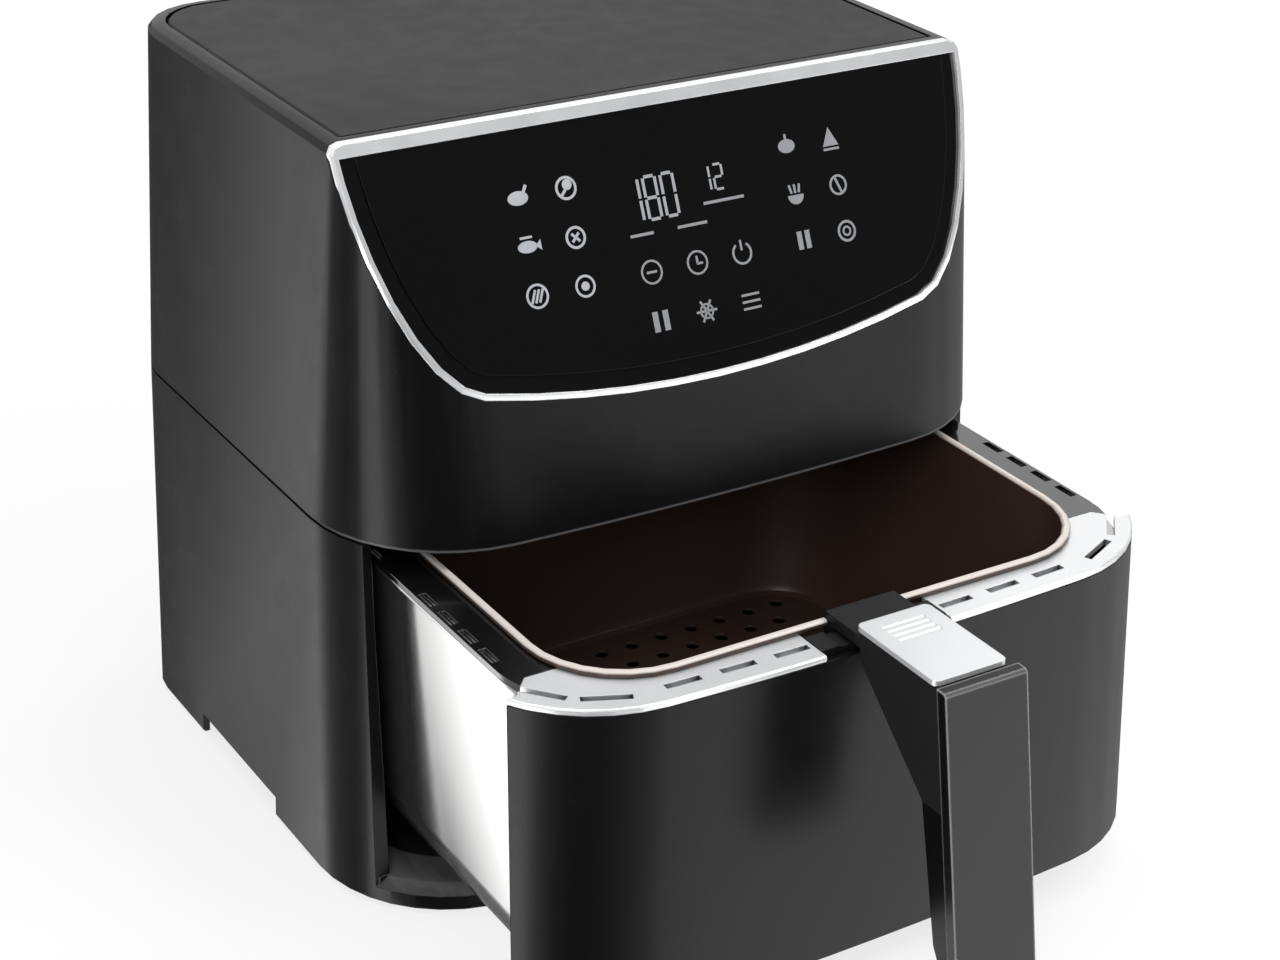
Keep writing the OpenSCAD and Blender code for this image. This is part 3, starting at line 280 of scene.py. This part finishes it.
dark_sheet = surface("dark_sheet", (0.02, 0.02, 0.021), 0.6, spread=0.08, grain=600, grain_h=0.00008)
aluminium = surface("fan_aluminium", (0.75, 0.76, 0.77), 0.3, metallic=1.0, spread=0.08, grain_h=0.00003)
zinc = surface("bright_steel", (0.66, 0.66, 0.67), 0.25, metallic=1.0, spread=0.06, grain_h=0.00002)
heater = surface("heater_steel", (0.16, 0.12, 0.10), 0.45, metallic=0.9, spread=0.1, tone=0.35, patch=40)
iron = surface("motor_iron", (0.16, 0.12, 0.09), 0.5, metallic=0.4, tone=0.3, patch=60)
ceramic = surface("ceramic", (0.74, 0.70, 0.62), 0.3, spread=0.06, tone=0.06)
board = surface("board_green", (0.02, 0.13, 0.07), 0.35, spread=0.06, tone=0.2, patch=60)
display = surface("display_white", (0.7, 0.7, 0.66), 0.5)
rubber = surface("rubber", (0.012, 0.012, 0.012), 0.75, grain=500, grain_h=0.00012)
red = surface("button_red", (0.42, 0.035, 0.022), 0.35, edge_wear_and_sheen=0.2)

DRESSED = (
    (black_shell, ("upper_shell",)),
    (black, ("lower_shell",)),
    (black_drawer, ("drawer_front", "handle_back")),
    (black_handle, ("handle_front",)),
    (cover, ("top_cover",)),
    (inner, ("base_tray", "exhaust_grille", "thermal_cutout", "door_switch", "cooling_fan", "latch_catch",
             "handle_bracket")),
    (rim_black, ("pan_rim",)),
    (gloss, ("control_panel", "panel_bezel")),
    (chrome, ("panel_trim",)),
    (silver, ("front_rim",)),
    (plate, ("button_guard",)),
    (pan, ("drawer_pan",)),
    (basket_coat, ("basket",)),
    (steel, ("exhaust_duct", "fan_hood", "motor_bracket")),
    (dark_sheet, ("bay_liner", "bay_ceiling")),
    (aluminium, ("hot_air_fan",)),
    (zinc, ("case_screws", "motor_screws", "drawer_screws", "handle_screws", "heater_guard",
            "temperature_probe", "motor_shaft", "fan_nut", "button_spring", "latch_hook")),
    (heater, ("heater_coil",)),
    (iron, ("fan_motor",)),
    (ceramic, ("terminal_block", "heater_bushes")),
    (board, ("touch_board", "control_board")),
    (display, ("display_module",)),
    (rubber, ("rubber_feet", "cord_gland")),
    (red, ("release_button",)),
)


def dress(node, material):
    materials = nodes[node].data.materials
    materials.clear()
    materials.append(material)


for material, names in DRESSED:
    for name in names:
        dress(name, material)


# ---------------------------------------------------------------- shading and springs
SMOOTH_BELOW = math.radians(30.0)
WELD_GAP = 0.01 * MM


def smooth(o):
    """Rounds the shading of faces that meet at less than SMOOTH_BELOW; the mesh's points stay."""
    mesh = o.data
    for name in [a.name for a in mesh.attributes if a.name == "custom_normal"]:
        mesh.attributes.remove(mesh.attributes[name])
    for face in mesh.polygons:
        face.use_smooth = True
    weld = o.modifiers.new("weld", "WELD")
    weld.merge_threshold = WELD_GAP
    split = o.modifiers.new("split", "EDGE_SPLIT")
    split.split_angle = SMOOTH_BELOW
    split.use_edge_sharp = False


for o in nodes.values():
    smooth(o)


def coils():
    """A copy of the button's two springs, shaded smooth, that rides with the basket in place of the CAD node.
    """
    o = show("spring_coils", nodes["button_spring"].data.copy())
    for face in o.data.polygons:
        face.use_smooth = True
    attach(o, "basket")
    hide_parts("button_spring")
    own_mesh(o)


coils()

# ---------------------------------------------------------------- prints on the glass, in millimetres
GLASS = -0.5
PRINT_TOP = GLASS + 0.12
PRINT_LOW = GLASS + 0.02


def glow(name, strength):
    """The pale print of a lit key or digit, slightly uneven."""
    material = bpy.data.materials.new(name)
    t = emptied(material)
    level = ranged(t, noise(t, own_place(t), 160.0, 2.0), 0.3, 0.7, strength * 0.8, strength)
    shader = add(t, "ShaderNodeBsdfPrincipled", {
        "Base Color": rgb(0.2, 0.205, 0.215), "Roughness": 0.4,
        "Emission Color": rgb(0.9, 0.94, 1.0), "Emission Strength": level,
    })
    add(t, "ShaderNodeOutputMaterial", {"Surface": shader.outputs[0]})
    return material


class Print:
    """Flat shapes on the panel's glass, across and up the slope from PANEL_AT, as one thin mesh."""

    def __init__(self, name, material):
        self.name = name
        self.material = material
        self.bm = bmesh.new()

    def shape(self, points):
        """A thin plate with these corners."""
        top, low = [], []
        for u, v in points:
            at = PANEL_AT + ACROSS * u * MM + UP * v * MM
            top.append(self.bm.verts.new(at + OUT * PRINT_TOP * MM))
            low.append(self.bm.verts.new(at + OUT * PRINT_LOW * MM))
        self.bm.faces.new(top)
        self.bm.faces.new(low[::-1])
        for i in range(len(points)):
            j = (i + 1) % len(points)
            self.bm.faces.new((top[j], top[i], low[i], low[j]))

    def bar(self, x, y, w, h, turn=0.0):
        c, s = math.cos(math.radians(turn)), math.sin(math.radians(turn))
        corners = ((-w / 2, -h / 2), (w / 2, -h / 2), (w / 2, h / 2), (-w / 2, h / 2))
        self.shape([(x + dx * c - dy * s, y + dx * s + dy * c) for dx, dy in corners])

    def disc(self, x, y, r, squash=1.0, start=0.0, end=360.0, n=20):
        """A disc, or the part of one between two angles, squash times as high as wide."""
        corners = n if end - start >= 360.0 else n + 1
        turns = [math.radians(start + (end - start) * i / n) for i in range(corners)]
        self.shape([(x + r * math.cos(a), y + r * squash * math.sin(a)) for a in turns])

    def ring(self, x, y, r, t, start=0.0, end=360.0, n=28):
        """A ring of outer radius r and thickness t, or the part of one between two angles."""
        for i in range(n):
            a, b = (math.radians(start + (end - start) * k / n) for k in (i, i + 1))
            self.shape([(x + (r - t) * math.cos(a), y + (r - t) * math.sin(a)),
                        (x + r * math.cos(a), y + r * math.sin(a)),
                        (x + r * math.cos(b), y + r * math.sin(b)),
                        (x + (r - t) * math.cos(b), y + (r - t) * math.sin(b))])

    def done(self):
        bmesh.ops.remove_doubles(self.bm, verts=self.bm.verts, dist=1e-7)
        mesh = bpy.data.meshes.new(self.name)
        self.bm.to_mesh(mesh)
        self.bm.free()
        mesh.materials.append(self.material)
        o = show(self.name, mesh)
        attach(o, "housing")


def slope(z):
    """How far up the panel's slope a height of z is."""
    return (z - PANEL_Z) / math.cos(PANEL_TILT)


ROWS = [slope(z) for z in (271.5, 254.9, 238.5, 221.7)]
OUTER_KEYS = 68.4
INNER_KEYS = 48.4
MIDDLE_KEYS = 20.0
bright_print = glow("print_bright", 0.3)
dim_print = glow("print_dim", 0.1)
digit_print = glow("print_digits", 0.2)


def left_keys():
    p = Print("food_keys_left", bright_print)
    x0, x1 = -OUTER_KEYS, -INNER_KEYS
    # roast, and drumstick in a ring
    y = ROWS[0]
    p.disc(x0, y - 0.5, 4.2, squash=0.62)
    p.bar(x0 + 3.2, y + 2.4, 1.2, 3.2, -30)
    p.ring(x1, y, 4.4, 1.0)
    p.disc(x1 + 0.6, y + 1.2, 2.0)
    p.bar(x1 - 1.6, y - 1.8, 3.4, 1.1, 45)
    # fish, and cross in a ring
    y = ROWS[1]
    p.disc(x0, y, 4.0, squash=0.55)
    p.shape([(x0 + 3.4, y), (x0 + 5.6, y + 2.0), (x0 + 5.6, y - 2.0)])
    p.bar(x0, y + 3.4, 5.0, 0.9)
    p.ring(x1, y, 4.2, 1.0)
    for turn in (45, -45):
        p.bar(x1, y, 4.4, 1.0, turn)
    # stripes in a ring, and dot in a ring
    y = ROWS[2]
    p.ring(x0, y, 4.6, 0.9)
    for k in (-1.6, 0.0, 1.6):
        p.bar(x0 + k, y, 0.9, 5.2, -24)
    p.ring(x1, y, 4.2, 0.9)
    p.disc(x1, y, 1.7)
    p.done()


def right_keys():
    p = Print("food_keys_right", dim_print)
    x0, x1 = INNER_KEYS, OUTER_KEYS
    # fruit, and slice of cake
    y = ROWS[0]
    p.disc(x0, y, 3.8, squash=0.7)
    p.bar(x0, y + 3.6, 1.0, 2.0)
    p.shape([(x1 - 3.6, y - 3.0), (x1 + 3.6, y - 3.0), (x1, y + 4.2)])
    p.bar(x1, y - 4.2, 7.2, 0.9)
    # bowl of sticks, and bar in a ring
    y = ROWS[1]
    p.disc(x0, y - 0.6, 3.6, start=180.0, end=360.0)
    for k in (-2.0, 0.0, 2.0):
        p.bar(x0 + k, y + 1.8, 1.0, 3.4, k * -6.0)
    p.ring(x1, y, 4.0, 0.9)
    p.bar(x1, y, 1.0, 6.0, 20)
    # two bars, and ring in a ring
    y = ROWS[2]
    for k in (-1.8, 1.8):
        p.bar(x0 + k, y, 2.2, 7.0)
    p.ring(x1, y, 4.2, 1.0)
    p.ring(x1, y, 2.0, 0.8)
    p.done()


def middle_keys():
    p = Print("control_keys", dim_print)
    # less, time and power
    y = ROWS[2]
    p.ring(-MIDDLE_KEYS, y, 4.6, 0.8)
    p.bar(-MIDDLE_KEYS, y, 4.4, 0.9)
    p.ring(0.0, y, 4.6, 0.8)
    p.bar(0.0, y + 1.0, 0.9, 3.0)
    p.bar(1.0, y - 0.4, 2.6, 0.9)
    p.ring(MIDDLE_KEYS, y, 4.4, 0.9, start=125.0, end=415.0)
    p.bar(MIDDLE_KEYS, y + 3.0, 0.9, 4.0)
    # pause, fan and menu
    y = ROWS[3]
    for k in (-2.2, 2.2):
        p.bar(-MIDDLE_KEYS + k, y, 2.4, 7.6)
    for turn in (0.0, 60.0, 120.0):
        p.bar(0.0, y, 9.0, 0.9, turn)
    p.ring(0.0, y, 3.0, 0.7)
    for k in (-2.6, 0.0, 2.6):
        p.bar(MIDDLE_KEYS, y + k, 8.0, 0.9)
    p.done()


# Which bars each digit lights: a at the top, then clockwise to f, and g in the middle
SEGMENTS = {"0": "abcdef", "1": "bc", "2": "abged", "8": "abcdefg"}


def digit(p, which, x, y, w, h, t):
    """One digit round x, y: its bars' middles lie w apart and h from top to bottom, and are t thick."""
    half = h / 2
    flat = (w - t, t)
    upright = (t, half - t * 0.7)
    bars = {
        "a": (x, y + half, *flat), "g": (x, y, *flat), "d": (x, y - half, *flat),
        "b": (x + w / 2, y + half / 2, *upright), "c": (x + w / 2, y - half / 2, *upright),
        "e": (x - w / 2, y - half / 2, *upright), "f": (x - w / 2, y + half / 2, *upright),
    }
    for bar in SEGMENTS[which]:
        p.bar(*bars[bar])


def readout():
    """The temperature, the time, and the short lines under them."""
    p = Print("display_digits", digit_print)
    mid = (slope(255.0) + slope(271.0)) / 2
    for k, which in enumerate("180"):
        digit(p, which, -21.4 + 7.6 * k, mid, 5.2, slope(270.5) - slope(256.0), 1.2)
    mid = (slope(261.0) + slope(270.5)) / 2
    for k, which in enumerate("12"):
        digit(p, which, 10.2 + 5.8 * k, mid, 3.9, slope(270.0) - slope(261.5), 0.9)
    p.done()
    p = Print("display_marks", dim_print)
    for x, z, length in ((16.5, 257.6, 18.0), (1.0, 251.4, 13.0), (-21.0, 251.4, 10.0)):
        p.bar(x, slope(z), length, 1.1)
    p.done()


left_keys()
right_keys()
middle_keys()
readout()


# ---------------------------------------------------------------- stage
def stage_material():
    """A pale floor that keeps the object's shadow near it and fades to white further off."""
    material = bpy.data.materials.new("backdrop")
    t = emptied(material)
    ray = add(t, "ShaderNodeLightPath").outputs
    place = own_place(t)
    patches = ranged(t, noise(t, place, 3.0, 2.0), 0.3, 0.7)
    tint = mixed(t, patches, rgb(0.80, 0.80, 0.80), rgb(0.83, 0.83, 0.83))
    away = add(t, "ShaderNodeVectorMath", {0: place}, operation="LENGTH").outputs["Value"]
    white = times(t, ray["Is Camera Ray"], ranged(t, away, 0.45, 1.3, 0.72, 1.0))
    paper = add(t, "ShaderNodeBsdfDiffuse", {"Color": tint})
    light = add(t, "ShaderNodeEmission", {"Color": rgb(1.0, 1.0, 1.0), "Strength": 1.06})
    mix = add(t, "ShaderNodeMixShader", {0: white, 1: paper.outputs[0], 2: light.outputs[0]})
    add(t, "ShaderNodeOutputMaterial", {"Surface": mix.outputs[0]})
    return material


bpy.ops.mesh.primitive_plane_add(size=14.0, location=(0.0, 0.0, 0.0))
floor = bpy.context.object
floor.name = "floor"
floor.data.materials.append(stage_material())
floor.visible_glossy = False

# ---------------------------------------------------------------- light
# What mirrors see below the horizon, where the floor is hidden from them: soft strips and dark places round
# the object. Each is a direction in degrees from the front, above 0 to the right, and the strength there.
BRIGHTEST = 6.0
ROUND = (
    (-180, 0.15), (-158, 0.1), (-155.5, 0.4), (-153.5, 1.3), (-150, 1.6), (-146, 3.4), (-142, 2.4),
    (-136, 0.5), (-96, 0.3), (-88, 5.5), (-77, 5.5), (-66, 0.8), (-45, 0.08), (-20, 0.15), (8, 0.7),
    (26, 2.0), (36, 2.4), (60, 2.2), (80, 1.1), (115, 0.4), (180, 0.15),
)
# How strongly the world lights the object, the same from everywhere
EVEN_LIGHT = 0.42


def round_strength(t, way):
    """The strength that ROUND gives for the direction's turn round the object."""
    turn = math_node(t, "ARCTAN2", way["X"], times(t, way["Y"], -1.0))
    strips = add(t, "ShaderNodeValToRGB", {"Fac": ranged(t, turn, -math.pi, math.pi)})
    strips.color_ramp.interpolation = "EASE"
    stops = strips.color_ramp.elements
    while len(stops) < len(ROUND):
        stops.new(0.5)
    for stop, (degrees, strength) in zip(stops, ROUND):
        stop.position = (degrees + 180) / 360
        stop.color = (strength / BRIGHTEST,) * 3 + (1.0,)
    return times(t, strips.outputs["Color"], BRIGHTEST)


def studio():
    """White for the camera and through glass, even for what it lights, and a soft studio in mirrors."""
    world = bpy.data.worlds.new("studio")
    bpy.context.scene.world = world
    t = emptied(world)
    ray = add(t, "ShaderNodeLightPath").outputs
    way = axes(t, add(t, "ShaderNodeTexCoord").outputs["Generated"])
    low = round_strength(t, way)
    high = ranged(t, way["Y"], -0.25, 0.25, 0.12, 1.0)
    lift = ranged(t, way["Z"], -0.05, 0.15)
    seen = math_node(t, "ADD", times(t, low, math_node(t, "SUBTRACT", 1.0, lift)), times(t, high, lift))
    mirrored = times(t, ray["Is Glossy Ray"], seen)
    even = times(t, ray["Is Diffuse Ray"], EVEN_LIGHT)
    white = math_node(t, "MAXIMUM", ray["Is Camera Ray"], ray["Is Transmission Ray"])
    level = math_node(t, "MAXIMUM", white, math_node(t, "MAXIMUM", mirrored, even))
    sky = add(t, "ShaderNodeBackground", {"Color": rgb(1.0, 1.0, 1.0), "Strength": level})
    add(t, "ShaderNodeOutputWorld", {"Surface": sky.outputs[0]})


def softbox(name, at, aim, width, height, power):
    """A lamp of this size in metres and power in watts, turned towards aim."""
    lamp = bpy.data.lights.new(name, "AREA")
    lamp.shape = "RECTANGLE"
    lamp.size = width
    lamp.size_y = height
    lamp.energy = power
    o = show(name, lamp)
    o.location = at
    o.rotation_euler = (Vector(at) - Vector(aim)).to_track_quat("Z", "Y").to_euler()


studio()
softbox("key", (-1.25, -1.5, 1.5), (0.0, -0.1, 0.12), 0.9, 1.2, 16.0)
softbox("front_high", (0.95, -0.95, 1.55), (0.0, -0.2, 0.12), 0.8, 0.8, 12.0)
softbox("top", (0.1, 0.1, 2.1), (0.0, -0.1, 0.1), 1.4, 1.4, 21.0)

# ---------------------------------------------------------------- camera
EYE = (-0.4920, -0.8350, 0.5909)
AZIMUTH = math.radians(-32.26)
ELEVATION = math.radians(26.47)
ROLL = math.radians(1.30)


def viewpoint():
    """The camera at EYE, looking back along its azimuth and elevation, and rolled a little."""
    camera = bpy.data.cameras.new("camera")
    camera.sensor_width = 36.0
    camera.sensor_fit = "HORIZONTAL"
    camera.lens = 72.15
    camera.clip_start = 0.05
    camera.clip_end = 50.0
    back = Vector((math.sin(AZIMUTH) * math.cos(ELEVATION), -math.cos(AZIMUTH) * math.cos(ELEVATION),
                   math.sin(ELEVATION)))
    level_right = (-back).cross(Vector((0, 0, 1))).normalized()
    level_up = level_right.cross(-back)
    right = level_right * math.cos(ROLL) + level_up * math.sin(ROLL)
    up = level_up * math.cos(ROLL) - level_right * math.sin(ROLL)
    eye = show("camera", camera)
    eye.matrix_world = Matrix((
        (right.x, up.x, back.x, EYE[0]),
        (right.y, up.y, back.y, EYE[1]),
        (right.z, up.z, back.z, EYE[2]),
        (0.0, 0.0, 0.0, 1.0),
    ))
    bpy.context.scene.camera = eye


viewpoint()
bpy.context.scene.view_settings.view_transform = "Standard"
